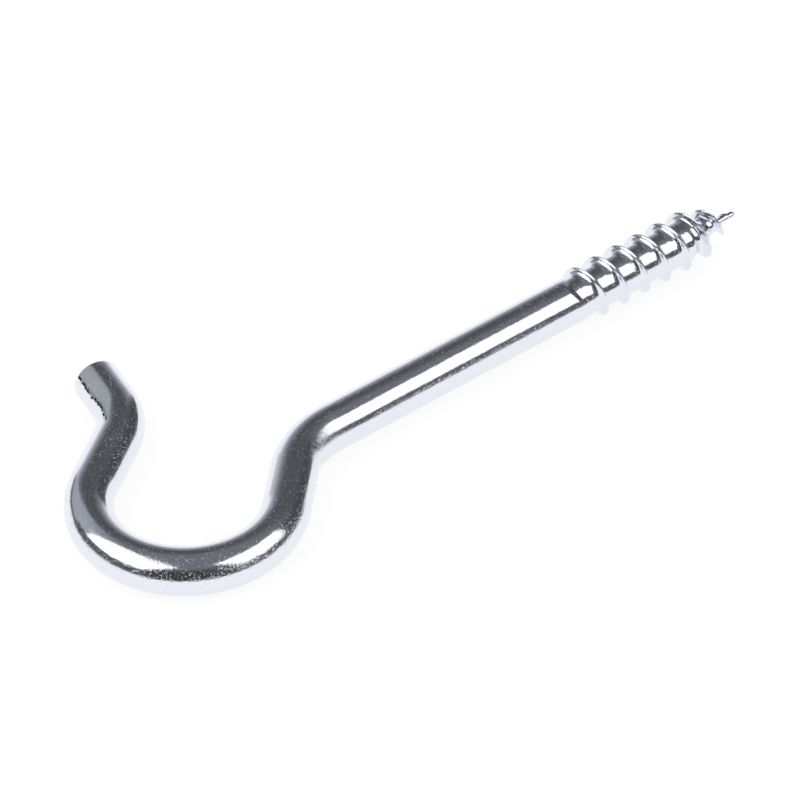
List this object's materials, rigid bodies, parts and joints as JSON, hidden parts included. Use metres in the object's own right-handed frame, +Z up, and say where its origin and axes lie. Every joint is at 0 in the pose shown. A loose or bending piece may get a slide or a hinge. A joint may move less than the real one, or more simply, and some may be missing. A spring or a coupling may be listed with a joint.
{
  "type": "screw hook",
  "caption": "Screw hook bent from one round wire: wood thread with a gimlet point, plain shank, open round hook and a short turned-out end.",
  "frame": {"origin": "middle of the part's plan outline, at the lowest crest of the thread", "axes": "+X along the shank from the hook to the screw's point, +Y towards the hook's turned-out end, +Z up from the level plane that the wire is bent in"},
  "size_m": [0.1008, 0.0402, 0.0073],
  "materials": {
    "zinc_plate": "bright zinc plate with fine drawing marks"
  },
  "bodies": {
    "root": {"screw_hook": "zinc_plate"}
  },
  "joints": []
}
